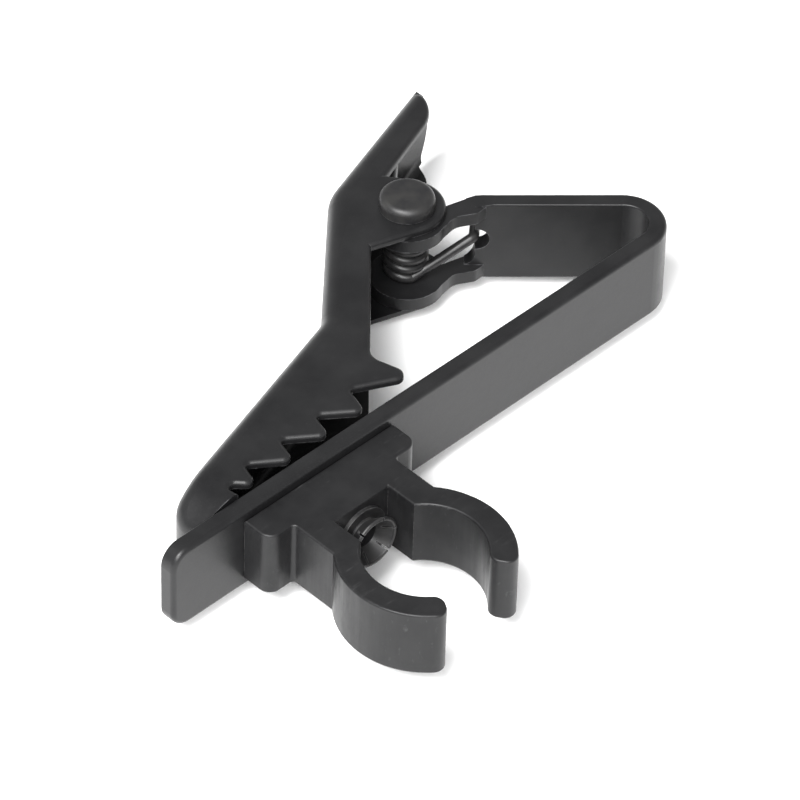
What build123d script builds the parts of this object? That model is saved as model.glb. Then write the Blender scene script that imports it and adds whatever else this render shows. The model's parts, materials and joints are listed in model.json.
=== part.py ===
"""Spring-loaded garment clip with a swivelling snap holder for a small clip-on microphone.

A folded steel frame carries a toothed, channel-shaped jaw on a rivet. A torsion spring on that rivet
keeps the jaw shut on the frame's long strip. A moulded snap ring for the microphone turns on an
eyelet that is clinched through the strip.

Origin: centre of the snap ring's bore, at half its height. +X runs along the strip from the jaw's
nose to the fold, +Y from the snap ring towards the jaw, +Z along the bore and the jaw's pivot.
All lengths are in millimetres and all angles in degrees.
"""

from build123d import *
from math import cos, radians, sin, tan
import os

# ---- folded frame ----
frame_width = 6.4
frame_sheet = 1.18
strip_face_y = 9.42  # side of the strip that the holder sits on
strip_end_x = -12.35
strip_corner_r = 1.4
fold_r = 2.8  # outer radius of the fold
arm_slope = -42.9  # direction of the folded-back arm, away from the pivot
edge_break = 0.12  # rounding of sheared edges
drawn_edge_r = 0.32  # rounding of the edges on the side that the shears drew in

# ---- pivot ----
pivot = (20.5, 22.55)
arm_offset = 0.6  # from the pivot out to the arm's inner face
ear_z = (2.05, 3.0)  # inner and outer face of each ear
ear_r = 2.5
ear_centre = (0.1, -0.9)  # centre of the ear's round, along the arm and out, as the points below
ear_neck = (22.0, 25.0)  # angles from the arm to the ends of the ear's round, outer and inner side
ear_waist = (3.15, -0.95)
ear_rise = (4.4, 5.8)  # distances between which the ear's height rises to the strip's
ear_bend = (4.6, -0.6)
ear_root = (5.3, 0.1)
ear_waist_r = 1.2
ear_bend_r = 0.5
web_start = 3.9  # distance along the arm at which the web's corners begin
web_chamfer = 0.3  # how far the web's end is stepped in on its outer side
web_end = 4.55
web_corner_r = 0.9
notch = (4.64, 0.2)  # middle of the notch in the web's end, along the arm and in height
notch_r = 0.85
shaft_r = 0.7
running_gap = 0.05
pivot_head_r = 1.85
pivot_head_h = 1.0
pivot_head_edge_r = 0.5
tail_head_r = 1.4
tail_head_h = 0.5
tail_head_edge_r = 0.35

# ---- jaw lever ----
jaw_half_height = 3.63
jaw_sheet = 0.55
spine_r = 1.15  # outer radius between the back and the side walls
nose_x = -9.2
nose_plan_r = 2.0
nose_taper_r = 6.0  # radius by which the side walls draw in to the nose
nose_taper_x = -5.2
nose_taper_sweep = 48.0
biting_y = 10.68  # lower edge of the nose
knee = (9.08, 18.72)  # outer bend between the toothed part and the middle
knee_r = 2.0
heel = (17.83, 27.13)  # outer bend between the middle and the thumb lever
heel_r = 4.0
toothed_slope = 16.6
lever_slope = 18.1
lever_tip_x = 28.7
lever_tip_bulge = 1.85
flange_edge_r = 0.3  # rounding of the side walls' cut edges, outside
lever_root = (21.7, 25.7)  # inner corner between the pivot's lobe and the lever
lever_front_end = (27.3, 27.72)
lever_round_mid = (28.6, 28.75)
lever_round_end = (29.15, 30.05)
lobe_centre = (20.6, 22.75)
lobe_r = 2.62
lobe_start = -108.0
lobe_sweep = 140.0
throat = (16.2, 21.45)  # inner corner between the lobe and the middle part

# ---- teeth, each a virtual sharp tip and the gullet on its nose side ----
tooth_count = 4
tooth_pitch = 3.15
first_tip = (5.2, 10.55)
tip_drop = 0.06  # from tooth to tooth, towards the nose
first_gullet = (2.62, 12.5)
gullet_drop = 0.1
tooth_tip_r = 0.5
gullet_r = 0.3
last_gullet = (-5.9, 12.1)
nose_edge = (-5.7, biting_y)
hook_gullet = (5.85, 12.72)
hook_tip = (9.9, 10.65)
hook_tip_r = 0.62
hook_root = (8.9, 14.0)
hook_root_r = 1.2

# ---- torsion spring ----
wire_r = 0.35
coil_r = 1.18  # to the middle of the wire
coil_half_height = 1.6
coil_full_turns = 4
short_leg_slope = -23.0
long_leg_slope = 43.0
long_leg = 7.3
long_leg_z = 1.2
leg_lap = 0.12  # how far a leg starts inside the end of the coil
hook_bend = (4.45, -0.1)  # where the leg turns into the notch, along the arm and out from its face
hook_bend_z = 0.5
hook_end = (4.6, 1.6)
hook_end_z = 0.25

# ---- microphone holder ----
bore_r = 4.0
ring_r = 5.72
ring_lean = 0.1  # how far the ring's outside is set forward, so that its arms thicken to their ends
holder_height = 5.0
mouth = (-119.0, -55.5)  # angles of the two arm ends
arm_end_r = 0.75
neck_half_width = 4.35
base_half_width = 6.4
base_under_y = 7.1
base_corner_r = 0.85
base_root_r = 0.3
pocket_half_width = 2.3
pocket_back_y = 5.6
swivel_gap = 0.04
moulded_edge_r = 0.15

# ---- eyelet and washer ----
eyelet_r = 1.2
eyelet_wall = 0.28
eyelet_head_r = 2.1
eyelet_head_h = 0.3
eyelet_flare_y = 5.2
eyelet_rim_y = 4.35
eyelet_rim_r = 1.85
eyelet_splits = 6
eyelet_split_width = 0.14
eyelet_split_depth = 0.6
eyelet_split_start = 20.0
washer_r = 1.9
washer_h = 0.25

os.makedirs("parts", exist_ok=True)

strip_back_y = strip_face_y + frame_sheet
arm_along = (cos(radians(arm_slope)), sin(radians(arm_slope)))
arm_out = (-arm_along[1], arm_along[0])
reach = 60.0  # larger than the whole clip, for cutting shapes


def from_pivot(along, out):
    """Point at a distance from the pivot along the arm, and out from the arm's inner face."""
    x = pivot[0] + along * arm_along[0] + (arm_offset + out) * arm_out[0]
    y = pivot[1] + along * arm_along[1] + (arm_offset + out) * arm_out[1]
    return (x, y)


def around(centre, radius, angle):
    """Point on a circle in plan."""
    return (centre[0] + radius * cos(radians(angle)), centre[1] + radius * sin(radians(angle)))


def arm_at(y, out):
    """Point where a line along the arm, out from its inner face, crosses the height y."""
    along = (y - pivot[1] - (arm_offset + out) * arm_out[1]) / arm_along[1]
    return from_pivot(along, out)


def on_slope(start, slope, x):
    """Point at x on the line through start that rises at the slope."""
    return (x, start[1] + (x - start[0]) * tan(radians(slope)))


def nearest(shapes, point):
    """The one of the shapes that lies nearest to a point in plan."""
    return shapes.sort_by_distance(Vector(*point))[0]


def save(part, name):
    """Label a finished piece and write it."""
    part.label = name
    export_step(part, f"parts/{name}.step")


# ---- clip frame: strip, fold, arm and the two ears that carry the pivot ----
fold_outside = arm_at(strip_face_y, frame_sheet)
fold_inside = arm_at(strip_back_y, 0)


def is_sheared(edge):
    """Whether an edge lies on the strip's outline, and not at the arm's end or across the sheet."""
    middle = edge.position_at(0.5)
    across = abs(edge.tangent_at(0.5).Z) > 0.99 and middle.X > strip_end_x + 0.01
    at_arm_end = (middle.X - pivot[0]) * arm_along[0] + (middle.Y - pivot[1]) * arm_along[1] < web_end
    return not across and not (at_arm_end and middle.Y > strip_back_y + 1) and edge.length > 1


def is_on_side(edge, depth, radius):
    """Whether an edge lies on the side of the sheet at a depth from its outer face."""
    middle = edge.position_at(0.5)
    out = (middle.X - pivot[0]) * arm_out[0] + (middle.Y - pivot[1]) * arm_out[1] - arm_offset
    on_strip = abs(middle.Y - strip_face_y - depth) < 0.01
    on_arm = abs(out - frame_sheet + depth) < 0.01
    on_fold = edge.geom_type == GeomType.CIRCLE and abs(edge.radius - radius) < 0.01
    return on_strip or on_arm or on_fold


def on_outer_side(edge):
    """Whether an edge lies on the side that faces out of the fold."""
    return is_on_side(edge, 0, fold_r)


def on_inner_side(edge):
    """Whether an edge lies on the side that faces into the fold."""
    return is_on_side(edge, frame_sheet, fold_r - frame_sheet)


with BuildPart() as clip_frame:
    with BuildSketch():
        with BuildLine():
            Polyline(
                (strip_end_x, strip_face_y),
                fold_outside,
                from_pivot(web_end, frame_sheet),
                from_pivot(web_start, frame_sheet - web_chamfer),
                from_pivot(web_start, 0),
                fold_inside,
                (strip_end_x, strip_back_y),
                close=True,
            )
        make_face()
        fillet(nearest(vertices(), fold_outside), fold_r)
        fillet(nearest(vertices(), fold_inside), fold_r - frame_sheet)
    extrude(amount=frame_width / 2, both=True)
    fillet(edges().filter_by(Axis.Y).group_by(Axis.X)[0], strip_corner_r)
    rim = edges().filter_by(is_sheared)
    fillet(rim.filter_by(on_outer_side), drawn_edge_r)
    rim = edges().filter_by(is_sheared)
    fillet(rim.filter_by(on_inner_side), edge_break)
    for side in (-1, 1):
        with BuildSketch(Plane.XY.offset(side * ear_z[0])):
            with BuildLine():
                round_start = arm_slope + ear_neck[0]
                lobe = CenterArc(from_pivot(*ear_centre), ear_r, round_start, 360 - sum(ear_neck))
                Polyline(
                    lobe @ 1,
                    from_pivot(*ear_waist),
                    from_pivot(*ear_bend),
                    from_pivot(*ear_root),
                    from_pivot(ear_root[0], frame_sheet / 2),
                    from_pivot(web_end, frame_sheet),
                    lobe @ 0,
                )
            make_face()
            fillet(nearest(vertices(), lobe @ 1), ear_waist_r)
            fillet(nearest(vertices(), from_pivot(*ear_waist)), ear_waist_r)
            fillet(nearest(vertices(), from_pivot(*ear_bend)), ear_bend_r)
        extrude(amount=side * (ear_z[1] - ear_z[0]))
    arm_inward = (-arm_out[0], -arm_out[1], 0)
    arm_face = Plane(origin=(*from_pivot(0, 0), 0), x_dir=(*arm_along, 0), z_dir=arm_inward)
    with BuildSketch(arm_face):
        RectangleRounded(2 * web_end, 2 * ear_z[0], web_corner_r)
        with Locations(notch):
            Circle(notch_r)
        for side in (-1, 1):
            with BuildLine():
                top = side * frame_width
                Polyline(
                    (0, side * ear_z[1]),
                    (ear_rise[0], side * ear_z[1]),
                    (ear_rise[1], side * frame_width / 2),
                    (ear_rise[1], top),
                    (0, top),
                    close=True,
                )
            make_face()
    extrude(amount=2 * frame_sheet, both=True, mode=Mode.SUBTRACT)
    with Locations(pivot):
        Hole(shaft_r)
    with Locations(Plane(origin=(0, strip_face_y, 0), z_dir=(0, 1, 0))):
        Cylinder(eyelet_r, 4 * frame_sheet, mode=Mode.SUBTRACT)
save(clip_frame.part, "clip_frame")


# ---- pivot rivet: shaft, low domed head and peened tail ----
head_base = jaw_half_height + running_gap
with BuildPart() as pivot_rivet:
    with BuildSketch(Plane.XY.offset(-head_base)):
        with Locations(pivot):
            Circle(shaft_r)
    extrude(amount=2 * head_base)
    with BuildSketch(Plane.XY.offset(head_base)):
        with Locations(pivot):
            Circle(pivot_head_r)
    extrude(amount=pivot_head_h)
    fillet(faces().sort_by(Axis.Z)[-1].edges(), pivot_head_edge_r)
    with BuildSketch(Plane.XY.offset(-head_base)):
        with Locations(pivot):
            Circle(tail_head_r)
    extrude(amount=-tail_head_h)
    fillet(faces().sort_by(Axis.Z)[0].edges(), tail_head_edge_r)
save(pivot_rivet.part, "pivot_rivet")


# ---- jaw lever: pressed channel with a closed nose, teeth on both side walls and a thumb lever ----
def spine_region(inset):
    """Plan region in front of the jaw's back, drawn in from its outer face."""
    nose_top = on_slope(knee, toothed_slope, nose_x)
    far_top = on_slope(heel, lever_slope, reach)
    with BuildSketch() as region:
        with BuildLine():
            Polyline((nose_x, 0), nose_top, knee, heel, far_top, (reach, 0), close=True)
        make_face()
        fillet(nearest(vertices(), nose_top), nose_plan_r)
        fillet(nearest(vertices(), knee), knee_r)
        fillet(nearest(vertices(), heel), heel_r)
        if inset:
            offset(amount=-inset, kind=Kind.INTERSECTION)
    return region.sketch


def height_profile(inset):
    """Height of the channel along X: constant, then drawn in to the nose by an arc on each side."""
    half = jaw_half_height - inset
    arc_z = jaw_half_height - nose_taper_r
    with BuildSketch(Plane.XZ) as profile:
        with Locations(((nose_taper_x + reach) / 2, 0)):
            Rectangle(reach - nose_taper_x, 2 * half)
        with BuildLine():
            for side in (1, -1):
                centre = (nose_taper_x, side * arc_z)
                draw_in = CenterArc(centre, nose_taper_r - inset, side * 90, side * nose_taper_sweep)
                Line(draw_in @ 1, ((draw_in @ 1).X, 0))
            Line((nose_taper_x, half), (nose_taper_x, -half))
        make_face()
    return profile.sketch


def channel_solid(inset):
    """The jaw's outside as a filled solid, open-ended in front and past the lever."""

    def is_rim(edge):
        """Whether the edge lies between a side wall and the back or the nose."""
        centre = edge.center()
        across = abs(edge.tangent_at(0.5).Y) > 0.999 and centre.X > nose_x + inset + 0.1
        return abs(centre.Z) > 1 and centre.Y > 1 and centre.X < reach - 1 and not across

    plan = spine_region(inset)
    elevation = height_profile(inset)
    with BuildPart() as blank:
        extrude(plan, amount=jaw_half_height, both=True)
        extrude(elevation, amount=reach, both=True, mode=Mode.INTERSECT)
        fillet(edges().filter_by(is_rim), spine_r - inset)
    return blank.part


def wall_outline():
    """Plan outline of the toothed side walls, running far past the jaw's back."""
    tips = []
    gullets = [hook_gullet]
    for k in range(tooth_count):
        tips.append((first_tip[0] - k * tooth_pitch, first_tip[1] - k * tip_drop))
        gullets.append((first_gullet[0] - k * tooth_pitch, first_gullet[1] - k * gullet_drop))
    gullets[-1] = last_gullet
    with BuildSketch() as wall:
        with BuildLine():
            lobe = CenterArc(lobe_centre, lobe_r, lobe_start, lobe_sweep)
            teeth = [point for pair in zip(gullets, tips) for point in pair]
            nose = (last_gullet, nose_edge, (-reach, biting_y))
            Polyline(lobe @ 0, throat, hook_root, hook_tip, *teeth, *nose)
            Polyline(lobe @ 1, lever_root, lever_front_end)
            ThreePointArc(lever_front_end, lever_round_mid, lever_round_end)
            past_tip = on_slope(lever_round_end, lever_slope, reach)
            Polyline(lever_round_end, past_tip, (reach, reach), (-reach, reach), (-reach, biting_y))
        make_face()
        for tip in tips:
            fillet(nearest(vertices(), tip), tooth_tip_r)
        for gullet in gullets:
            fillet(nearest(vertices(), gullet), gullet_r)
        fillet(nearest(vertices(), hook_tip), hook_tip_r)
        fillet(nearest(vertices(), hook_root), hook_root_r)
    return wall.sketch


def tip_profile():
    """Outline seen along Y that bows the lever's end."""
    top = jaw_half_height + edge_break
    with BuildSketch(Plane.XZ) as profile:
        with BuildLine():
            end = ThreePointArc((lever_tip_x, top), (lever_tip_x + lever_tip_bulge, 0), (lever_tip_x, -top))
            Polyline(end @ 0, (-reach, top), (-reach, -top), end @ 1)
        make_face()
    return profile.sketch


def outer_flange_edges(candidates):
    """The outer edges of both side walls along their cut outline, from the nose to the lever."""
    found = []
    middles = [edge.position_at(0.5) for edge in jaw_walls.edges()]
    for side in (-1, 1):
        for middle in middles:
            target = Vector(middle.X, middle.Y, side * jaw_half_height)
            edge = candidates.sort_by_distance(target)[0]
            close = (edge.position_at(0.5) - target).length < jaw_sheet
            if close and not any(edge.is_same(other) for other in found):
                found.append(edge)
    return found


jaw_outside = channel_solid(0)
jaw_inside = channel_solid(jaw_sheet)
jaw_walls = wall_outline()
jaw_end = tip_profile()
with BuildPart() as jaw_lever:
    add(jaw_outside)
    add(jaw_inside, mode=Mode.SUBTRACT)
    extrude(jaw_walls, amount=jaw_half_height + edge_break, both=True, mode=Mode.INTERSECT)
    fillet(outer_flange_edges(edges()), flange_edge_r)
    extrude(jaw_end, amount=reach, both=True, mode=Mode.INTERSECT)
    with Locations(pivot):
        Hole(shaft_r + running_gap)
save(jaw_lever.part, "jaw_lever")


# ---- torsion spring: close coil, a leg hooked through the arm and a leg inside the lever ----
coil_start = short_leg_slope - 90
coil_end = long_leg_slope + 90
coil_turns = coil_full_turns + (coil_start - coil_end + 360) / 360
short_leg_start = (*around(pivot, coil_r, coil_start), -coil_half_height)
hook_inner = (*from_pivot(*hook_bend), hook_bend_z)
hook_outer = (*from_pivot(*hook_end), hook_end_z)
long_leg_start = (*around(pivot, coil_r, coil_end), coil_half_height)
long_leg_end = (*around(long_leg_start, long_leg, long_leg_slope), long_leg_z)


def wire(start, end, lap):
    """Straight run of wire with a round end, starting a lap before its first point."""
    run = Vector(*end) - Vector(*start)
    with BuildPart() as piece:
        with BuildSketch(Plane(origin=start, z_dir=run).offset(-lap)):
            Circle(wire_r)
        extrude(amount=run.length + lap)
        with Locations(end):
            Sphere(wire_r)
    return piece.part


coil_pitch = 2 * coil_half_height / coil_turns
coil_line = Helix(coil_pitch, 2 * coil_half_height, coil_r, lefthand=True)
coil_line = Pos(*pivot, -coil_half_height) * Rot(0, 0, coil_start) * coil_line
legs = [
    wire(short_leg_start, hook_inner, leg_lap),
    wire(hook_inner, hook_outer, 0),
    wire(long_leg_start, long_leg_end, leg_lap),
]
with BuildPart() as torsion_spring:
    with BuildSketch(Plane(origin=coil_line @ 0, z_dir=coil_line % 0)):
        Circle(wire_r)
    sweep(path=coil_line, is_frenet=True)
    add(legs)
save(torsion_spring.part, "torsion_spring")


# ---- microphone holder: base, neck and snap ring in one moulding ----
base_top_y = strip_face_y - swivel_gap
with BuildPart() as mic_holder:
    with BuildSketch():
        with Locations((0, -ring_lean)):
            Circle(ring_r)
        with Locations((0, (base_under_y + base_top_y) / 2)):
            Rectangle(2 * base_half_width, base_top_y - base_under_y)
        with Locations((0, base_top_y / 2)):
            Rectangle(2 * neck_half_width, base_top_y)
        under = vertices().filter_by(lambda v: abs(v.Y - base_under_y) < 0.01)
        fillet(under.filter_by(lambda v: abs(v.X) > base_half_width - 0.1), base_corner_r)
        under = vertices().filter_by(lambda v: abs(v.Y - base_under_y) < 0.01)
        fillet(under.filter_by(lambda v: abs(v.X) < neck_half_width + 0.1), base_root_r)
        Circle(bore_r, mode=Mode.SUBTRACT)
        with Locations((0, pocket_back_y / 2)):
            Rectangle(2 * pocket_half_width, pocket_back_y, mode=Mode.SUBTRACT)
        with BuildLine(mode=Mode.PRIVATE) as gap:
            Polyline((0, 0), *[around((0, 0), 2 * ring_r, angle) for angle in mouth], close=True)
        make_face(gap.line.edges(), mode=Mode.SUBTRACT)
        fillet(vertices().filter_by(lambda v: v.Y < -2), arm_end_r)
    extrude(amount=holder_height / 2, both=True)
    fillet(faces().filter_by(Axis.Z).edges(), moulded_edge_r)
    with Locations(Plane(origin=(0, base_top_y, 0), z_dir=(0, 1, 0))):
        Hole(eyelet_r + running_gap)
save(mic_holder.part, "mic_holder")


# ---- eyelet that holds the holder to the strip: flat head, hollow barrel, split and flared end ----
head_y = strip_back_y + eyelet_head_h
barrel_bore_r = eyelet_r - eyelet_wall
with BuildPart() as holder_eyelet:
    with BuildSketch():
        with BuildLine():
            outside = Polyline(
                (barrel_bore_r, head_y),
                (eyelet_head_r, head_y),
                (eyelet_head_r, strip_back_y),
                (eyelet_r, strip_back_y),
                (eyelet_r, eyelet_flare_y),
                (eyelet_rim_r, eyelet_rim_y),
            )
            lip_mid = (eyelet_rim_r - eyelet_wall / 2, eyelet_rim_y - eyelet_wall / 2)
            lip = ThreePointArc(outside @ 1, lip_mid, (eyelet_rim_r - eyelet_wall, eyelet_rim_y))
            Polyline(lip @ 1, (barrel_bore_r, eyelet_flare_y), outside @ 0)
        make_face()
        fillet(nearest(vertices(), (eyelet_head_r, head_y)), eyelet_head_h / 2)
    revolve(axis=Axis.Y)
    with Locations(Plane(origin=(0, eyelet_rim_y, 0), z_dir=(0, 1, 0))):
        with PolarLocations(eyelet_rim_r, eyelet_splits, start_angle=eyelet_split_start):
            Box(eyelet_rim_r, eyelet_split_width, 2 * eyelet_split_depth, mode=Mode.SUBTRACT)
save(holder_eyelet.part, "holder_eyelet")


# ---- washer between the eyelet's flare and the holder ----
with BuildPart() as holder_washer:
    with BuildSketch(Plane.XZ.offset(-pocket_back_y)):
        Circle(washer_r)
        Circle(eyelet_r, mode=Mode.SUBTRACT)
    extrude(amount=washer_h)
save(holder_washer.part, "holder_washer")
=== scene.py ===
import json
from math import cos, pi, radians, sin

import bpy
from mathutils import Matrix, Vector


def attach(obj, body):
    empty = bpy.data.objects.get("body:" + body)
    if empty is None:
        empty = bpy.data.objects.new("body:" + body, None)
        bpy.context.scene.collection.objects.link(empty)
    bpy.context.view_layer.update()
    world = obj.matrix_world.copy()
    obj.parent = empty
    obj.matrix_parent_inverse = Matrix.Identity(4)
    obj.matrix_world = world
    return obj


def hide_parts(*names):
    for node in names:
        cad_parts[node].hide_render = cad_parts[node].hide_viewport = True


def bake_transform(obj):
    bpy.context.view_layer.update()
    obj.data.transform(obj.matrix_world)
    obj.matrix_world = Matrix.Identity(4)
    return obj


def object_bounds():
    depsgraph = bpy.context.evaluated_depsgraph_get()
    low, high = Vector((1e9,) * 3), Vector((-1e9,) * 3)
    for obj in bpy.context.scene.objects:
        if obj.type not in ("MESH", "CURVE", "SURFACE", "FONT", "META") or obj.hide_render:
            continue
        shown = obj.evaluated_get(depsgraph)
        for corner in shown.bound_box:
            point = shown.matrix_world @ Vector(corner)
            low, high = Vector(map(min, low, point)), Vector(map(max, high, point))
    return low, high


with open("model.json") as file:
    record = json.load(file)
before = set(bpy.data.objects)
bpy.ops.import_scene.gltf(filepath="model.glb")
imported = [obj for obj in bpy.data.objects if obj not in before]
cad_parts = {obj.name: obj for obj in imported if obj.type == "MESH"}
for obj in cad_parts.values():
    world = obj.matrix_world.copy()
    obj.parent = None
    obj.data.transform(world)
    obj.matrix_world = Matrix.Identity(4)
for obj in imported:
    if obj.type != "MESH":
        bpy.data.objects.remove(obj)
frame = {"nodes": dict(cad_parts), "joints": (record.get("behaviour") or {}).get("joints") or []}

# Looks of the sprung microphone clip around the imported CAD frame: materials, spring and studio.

MM = 0.001
cad_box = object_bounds()
nodes = frame["nodes"]


# ---- camera: the photograph's viewing angle, a long lens a little above the clip ----
VIEW_AZIMUTH = 45.52  # of the viewing direction, from +Y towards +X
VIEW_ELEVATION = 43.39
VIEW_ROLL = 1.71
VIEW_DISTANCE = 400 * MM
LENS = 283.1
AIM = Vector((10.12, 12.46, 0.0)) * MM


def add_camera():
    """Camera that looks at the middle of the clip."""
    a, e, r = radians(VIEW_AZIMUTH), radians(VIEW_ELEVATION), radians(VIEW_ROLL)
    forward = Vector((sin(a), cos(a), 0)) * cos(e) - Vector((0, 0, sin(e)))
    right = Vector((cos(a), -sin(a), 0))
    up = right.cross(forward)
    turned_right = right * cos(r) + up * sin(r)
    turned_up = up * cos(r) - right * sin(r)
    camera = bpy.data.objects.new("camera", bpy.data.cameras.new("camera"))
    bpy.context.scene.collection.objects.link(camera)
    axes = Matrix((turned_right, turned_up, -forward)).transposed().to_4x4()
    camera.matrix_world = Matrix.Translation(AIM - forward * VIEW_DISTANCE) @ axes
    camera.data.lens = LENS
    camera.data.sensor_width = 36.0
    camera.data.clip_start = 10 * MM
    bpy.context.scene.camera = camera


add_camera()


# ---- studio ----
FLOOR_SIZE = 3.0
FLOOR_GAP = 0.05 * MM
CLIP_MIDDLE = (10, 12, 0)  # in millimetres, as the lights' places


def area_light(name, place, target, size, power):
    """Soft square light at a place in millimetres, facing a target."""
    data = bpy.data.lights.new(name, "AREA")
    data.shape = "SQUARE"
    data.size = size * MM
    data.energy = power
    light = bpy.data.objects.new(name, data)
    place, target = Vector(place) * MM, Vector(target) * MM
    light.location = place
    light.rotation_euler = (target - place).to_track_quat("-Z", "Y").to_euler()
    bpy.context.scene.collection.objects.link(light)


def add_floor():
    """Pale paper under the clip."""
    under_clip = cad_box[0][2] - FLOOR_GAP
    bpy.ops.mesh.primitive_plane_add(size=FLOOR_SIZE, location=(0, 0, under_clip))
    floor = bpy.context.object
    floor.name = "floor"
    material = bpy.data.materials.new("floor_paper")
    material.use_nodes = True
    shader = material.node_tree.nodes["Principled BSDF"]
    shader.inputs["Base Color"].default_value = (0.95, 0.95, 0.95, 1)
    shader.inputs["Roughness"].default_value = 0.9
    shader.inputs["Specular IOR Level"].default_value = 0.1
    floor.data.materials.append(material)


def add_surroundings():
    """White below and around, greyer overhead, so that level faces stay darker than upright ones."""
    world = bpy.data.worlds.new("studio")
    bpy.context.scene.world = world
    world.use_nodes = True
    tree = world.node_tree
    coords = tree.nodes.new("ShaderNodeTexCoord")
    split = tree.nodes.new("ShaderNodeSeparateXYZ")
    shade = tree.nodes.new("ShaderNodeValToRGB")
    shade.color_ramp.elements[0].position = 0.0
    shade.color_ramp.elements[0].color = (0.95, 0.95, 0.95, 1)
    shade.color_ramp.elements[1].position = 0.75
    shade.color_ramp.elements[1].color = (0.43, 0.43, 0.43, 1)
    tree.links.new(coords.outputs["Generated"], split.inputs["Vector"])
    tree.links.new(split.outputs["Z"], shade.inputs["Fac"])
    tree.links.new(shade.outputs["Color"], tree.nodes["Background"].inputs["Color"])
    tree.nodes["Background"].inputs["Strength"].default_value = 0.85


add_floor()
add_surroundings()
area_light("key", (-260, -40, 420), CLIP_MIDDLE, 240, 5.2)
area_light("fill", (-260, -280, 300), CLIP_MIDDLE, 260, 2.5)
bpy.context.scene.view_settings.view_transform = "Standard"


# ---- node building ----
class Tree:
    """A new material and short ways to add its nodes."""

    def __init__(self, name):
        self.material = bpy.data.materials.new(name)
        self.material.use_nodes = True
        self.nodes = self.material.node_tree.nodes
        self.links = self.material.node_tree.links
        self.shader = self.nodes["Principled BSDF"]

    def place(self, stretch=(1, 1, 1)):
        """Position on the object, in millimetres, stretched along the axes."""
        coords = self.nodes.new("ShaderNodeTexCoord")
        mapping = self.nodes.new("ShaderNodeMapping")
        mapping.inputs["Scale"].default_value = [s / MM for s in stretch]
        self.links.new(coords.outputs["Object"], mapping.inputs["Vector"])
        return mapping.outputs["Vector"]

    def noise(self, per_mm, detail=4.0, roughness=0.55, stretch=(1, 1, 1)):
        """Noise with so many features per millimetre."""
        node = self.nodes.new("ShaderNodeTexNoise")
        node.inputs["Scale"].default_value = per_mm
        node.inputs["Detail"].default_value = detail
        node.inputs["Roughness"].default_value = roughness
        self.links.new(self.place(stretch), node.inputs["Vector"])
        return node.outputs["Fac"]

    def remap(self, source, low, high, start, end):
        """Source's range low to high, carried to start to end."""
        node = self.nodes.new("ShaderNodeMapRange")
        node.inputs["From Min"].default_value = low
        node.inputs["From Max"].default_value = high
        node.inputs["To Min"].default_value = start
        node.inputs["To Max"].default_value = end
        self.links.new(source, node.inputs["Value"])
        return node.outputs["Result"]

    def math(self, operation, first, second):
        """Arithmetic on two sockets or numbers."""
        node = self.nodes.new("ShaderNodeMath")
        node.operation = operation
        for socket, value in zip(node.inputs, (first, second)):
            if isinstance(value, (int, float)):
                socket.default_value = value
            else:
                self.links.new(value, socket)
        return node.outputs["Value"]

    def mix(self, factor, first, second):
        """Blend of two colours by a factor; a colour is a socket or a triple."""
        node = self.nodes.new("ShaderNodeMix")
        node.data_type = "RGBA"
        self.links.new(factor, node.inputs["Factor"])
        for socket, value in zip((node.inputs[6], node.inputs[7]), (first, second)):
            if isinstance(value, tuple):
                socket.default_value = (*value, 1)
            else:
                self.links.new(value, socket)
        return node.outputs[2]

    def edges(self, width):
        """How strongly a point lies on a convex edge, 0 to 1, from a rounded normal."""
        bevel = self.nodes.new("ShaderNodeBevel")
        bevel.samples = 6
        bevel.inputs["Radius"].default_value = width * MM
        geometry = self.nodes.new("ShaderNodeNewGeometry")
        dot = self.nodes.new("ShaderNodeVectorMath")
        dot.operation = "DOT_PRODUCT"
        self.links.new(bevel.outputs["Normal"], dot.inputs[0])
        self.links.new(geometry.outputs["Normal"], dot.inputs[1])
        return self.remap(dot.outputs["Value"], 0.995, 0.9, 0.0, 1.0)

    def bump(self, layers):
        """Chain of bumps from (height, strength, distance in millimetres)."""
        normal = None
        for height, strength, distance in layers:
            node = self.nodes.new("ShaderNodeBump")
            node.inputs["Strength"].default_value = strength
            node.inputs["Distance"].default_value = distance * MM
            self.links.new(height, node.inputs["Height"])
            if normal is not None:
                self.links.new(normal, node.inputs["Normal"])
            normal = node.outputs["Normal"]
        self.links.new(normal, self.shader.inputs["Normal"])

    def set(self, **sockets):
        """Shader inputs by name, spaces written as underscores, to a number, a colour or a socket."""
        for name, value in sockets.items():
            socket = self.shader.inputs[name.replace("_", " ")]
            if isinstance(value, (int, float)):
                socket.default_value = value
            elif isinstance(value, tuple):
                socket.default_value = (*value, 1)
            else:
                self.links.new(value, socket)


def coated_steel():
    """Black semi-gloss coat on sheet steel: fine orange peel, faint clouding, dust, and lighter edges
    that are partly rubbed wear and partly a painted edge highlight.
    """
    tree = Tree("coated_steel")
    cloud = tree.noise(0.35, 5)
    speck = tree.noise(9.0, 2, 0.7)
    base = tree.mix(tree.remap(cloud, 0.35, 0.65, 0, 1), (0.007, 0.007, 0.0075), (0.011, 0.011, 0.0115))
    dust = tree.remap(speck, 0.66, 0.74, 0.0, 0.5)
    base = tree.mix(dust, base, (0.03, 0.03, 0.031))
    # lighter convex edges in patches: partly rubbed wear, partly a painted edge highlight
    edge_patches = tree.remap(tree.noise(1.4, 5, 0.65), 0.42, 0.62, 0.0, 0.8)
    painted_edge_highlight_and_wear = tree.math("MULTIPLY", tree.edges(0.09), edge_patches)
    base = tree.mix(painted_edge_highlight_and_wear, base, (0.11, 0.11, 0.115))
    tree.set(
        Base_Color=base,
        Roughness=tree.math(
            "ADD", tree.remap(cloud, 0.3, 0.7, 0.30, 0.38), tree.remap(speck, 0.4, 0.75, 0.0, 0.08)
        ),
        Specular_IOR_Level=0.3,
    )
    tree.bump([(tree.noise(1.3, 2, 0.5), 0.12, 0.05), (tree.noise(7.0, 3, 0.6), 0.10, 0.012)])
    return tree.material


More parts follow.
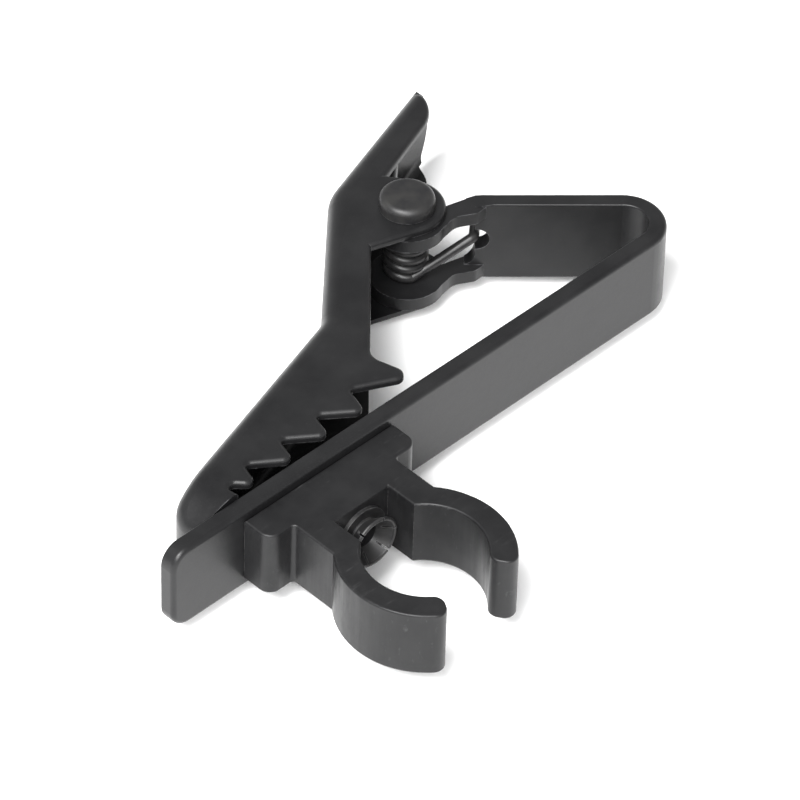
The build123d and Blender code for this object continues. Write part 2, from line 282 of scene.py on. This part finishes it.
def blackened_steel():
    """Chemically blackened steel: oily black with brownish clouds and brighter rims that are partly
    rubbed wear and partly a painted rim highlight.
    """
    tree = Tree("blackened_steel")
    cloud = tree.noise(0.9, 5)
    base = tree.mix(tree.remap(cloud, 0.35, 0.65, 0, 1), (0.009, 0.009, 0.010), (0.018, 0.0175, 0.017))
    # brighter convex rims in patches: partly rubbed wear, partly a painted rim highlight
    edge_patches = tree.remap(tree.noise(2.5, 4, 0.6), 0.4, 0.6, 0.2, 1.0)
    painted_edge_highlight_and_wear = tree.math("MULTIPLY", tree.edges(0.08), edge_patches)
    base = tree.mix(painted_edge_highlight_and_wear, base, (0.09, 0.09, 0.092))
    tree.set(
        Base_Color=base,
        Roughness=tree.remap(cloud, 0.3, 0.7, 0.40, 0.50),
        Specular_IOR_Level=0.4,
    )
    tree.bump([(tree.noise(5.0, 3, 0.6), 0.12, 0.015)])
    return tree.material


def spring_wire():
    """Blackened drawn wire: fine lengthwise die lines, slightly glossier than the sheet."""
    tree = Tree("blackened_spring_wire")
    cloud = tree.noise(1.6, 4)
    base = tree.mix(tree.remap(cloud, 0.35, 0.65, 0, 1), (0.009, 0.009, 0.0095), (0.018, 0.0175, 0.0175))
    tree.set(
        Base_Color=base,
        Roughness=tree.remap(cloud, 0.3, 0.7, 0.34, 0.42),
        Specular_IOR_Level=0.36,
    )
    tree.bump([(tree.noise(6.0, 2, 0.5, (1, 1, 0.4)), 0.05, 0.006)])
    return tree.material


def moulded_plastic():
    """Black moulded plastic: satin, faint flow streaks along the pull direction, light scuffs, and
    lighter edges that are partly rubbed wear and partly a painted edge highlight.
    """
    tree = Tree("moulded_plastic")
    cloud = tree.noise(0.5, 4)
    streak = tree.noise(2.2, 4, 0.6, (1, 1, 0.07))
    scuff = tree.noise(1.1, 6, 0.7, (0.35, 2.4, 1))
    base = tree.mix(tree.remap(cloud, 0.35, 0.65, 0, 1), (0.007, 0.007, 0.0075), (0.011, 0.011, 0.0115))
    marks = tree.remap(scuff, 0.60, 0.72, 0.0, 0.6)
    base = tree.mix(marks, base, (0.04, 0.04, 0.041))
    # lighter convex edges in patches: partly rubbed wear, partly a painted edge highlight
    edge_patches = tree.remap(tree.noise(1.8, 4, 0.6), 0.45, 0.6, 0.0, 0.8)
    painted_edge_highlight_and_wear = tree.math("MULTIPLY", tree.edges(0.07), edge_patches)
    base = tree.mix(painted_edge_highlight_and_wear, base, (0.10, 0.10, 0.10))
    tree.set(
        Base_Color=base,
        Roughness=tree.math(
            "ADD", tree.remap(streak, 0.35, 0.65, 0.36, 0.46), tree.remap(scuff, 0.5, 0.75, 0.0, 0.10)
        ),
        Specular_IOR_Level=0.27,
    )
    tree.bump([(streak, 0.25, 0.02), (scuff, 0.12, 0.012), (tree.noise(8.0, 2, 0.5), 0.06, 0.01)])
    return tree.material


def finish(node_names, material):
    """Give CAD nodes a material."""
    for name in node_names:
        mesh = nodes[name].data
        mesh.materials.clear()
        mesh.materials.append(material)


steel = coated_steel()
dark_steel = blackened_steel()
wire_black = spring_wire()
plastic = moulded_plastic()
finish(("clip_frame", "jaw_lever"), steel)
finish(("pivot_rivet", "holder_eyelet", "holder_washer"), dark_steel)
finish(("mic_holder",), plastic)


# ---- torsion spring: coil that twists between the bodies, one leg riding on each ----
PIVOT = Vector(next(joint for joint in frame["joints"] if joint["name"] == "jaw_pivot")["pos_m"])
WIRE_R = 0.35 * MM
COIL_R = 1.18 * MM
COIL_HALF_HEIGHT = 1.6 * MM
COIL_START = radians(-113.0)
COIL_TURNS = 4.3167
COIL_STEPS = 220
HOOK_BEND_R = 0.3 * MM
HOOK_BEND_STEPS = 8
WIRE_SIDES = 20
DOME_DEGREES = (80, 60, 40, 20)  # rings of a wire's domed end, from its middle outwards
# ends of the legs, from the pivot: the hooked leg's bend and end, and the jaw leg's end
HOOK_BEND = Vector((3.600, -2.663, 0.5)) * MM
HOOK_END = Vector((4.867, -1.520, 0.25)) * MM
JAW_LEG_END = Vector((4.534, 5.842, 1.2)) * MM


def sweep_wire(name, points):
    """Round wire of constant thickness along points, with domed ends."""
    tangents = []
    for i in range(len(points)):
        ahead, behind = points[min(i + 1, len(points) - 1)], points[max(i - 1, 0)]
        tangents.append((ahead - behind).normalized())
    side = tangents[0].orthogonal().normalized()
    rings = []

    def ring(centre, tangent, radius):
        across = tangent.cross(side)
        rings.append([
            centre + (side * cos(turn) + across * sin(turn)) * radius
            for turn in (2 * pi * k / WIRE_SIDES for k in range(WIRE_SIDES))
        ])

    dome = [radians(degrees) for degrees in DOME_DEGREES]
    for lift in dome:
        ring(points[0] - tangents[0] * WIRE_R * sin(lift), tangents[0], WIRE_R * cos(lift))
    for point, tangent in zip(points, tangents):
        side = (side - tangent * side.dot(tangent)).normalized()
        ring(point, tangent, WIRE_R)
    for lift in reversed(dome):
        ring(points[-1] + tangents[-1] * WIRE_R * sin(lift), tangents[-1], WIRE_R * cos(lift))
    verts = [v for r in rings for v in r]
    faces = []
    for i in range(len(rings) - 1):
        for k in range(WIRE_SIDES):
            j = (k + 1) % WIRE_SIDES
            near, far = i * WIRE_SIDES, (i + 1) * WIRE_SIDES
            faces.append((near + k, near + j, far + j, far + k))
    faces.append(tuple(reversed(range(WIRE_SIDES))))
    last = (len(rings) - 1) * WIRE_SIDES
    faces.append(tuple(range(last, last + WIRE_SIDES)))
    mesh = bpy.data.meshes.new(name)
    mesh.from_pydata(verts, [], faces)
    mesh.validate()
    for polygon in mesh.polygons:
        polygon.use_smooth = True
    mesh.materials.append(wire_black)
    obj = bpy.data.objects.new(name, mesh)
    bpy.context.scene.collection.objects.link(obj)
    return obj


def curve_points(controls, radius, steps):
    """Straight runs between controls with each inner corner rounded by a quadratic curve."""
    points = [controls[0]]
    for before, corner, after in zip(controls, controls[1:], controls[2:]):
        start = corner + (before - corner).normalized() * radius
        end = corner + (after - corner).normalized() * radius
        for k in range(steps + 1):
            t = k / steps
            points.append(start * (1 - t) ** 2 + corner * (2 * t * (1 - t)) + end * t ** 2)
    points.append(controls[-1])
    return points


def coil_point(turn):
    """Point on the coil's middle line after so many turns from its lower end."""
    angle = COIL_START - 2 * pi * turn
    height = COIL_HALF_HEIGHT * (2 * turn / COIL_TURNS - 1)
    return PIVOT + Vector((COIL_R * cos(angle), COIL_R * sin(angle), height))


def build_spring():
    """Coil, frame leg with its hooked end and jaw leg."""
    turns = [COIL_TURNS * k / COIL_STEPS for k in range(COIL_STEPS + 1)]
    coil = sweep_wire("spring_coil", [coil_point(turn) for turn in turns])
    hooked = [coil_point(0), PIVOT + HOOK_BEND, PIVOT + HOOK_END]
    hooked = curve_points(hooked, HOOK_BEND_R, HOOK_BEND_STEPS)
    frame_leg = sweep_wire("spring_leg_frame", hooked)
    jaw_leg = sweep_wire("spring_leg_jaw", [coil_point(COIL_TURNS), PIVOT + JAW_LEG_END])
    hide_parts("torsion_spring")
    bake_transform(coil)
    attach(frame_leg, "frame")
    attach(jaw_leg, "jaw")


build_spring()
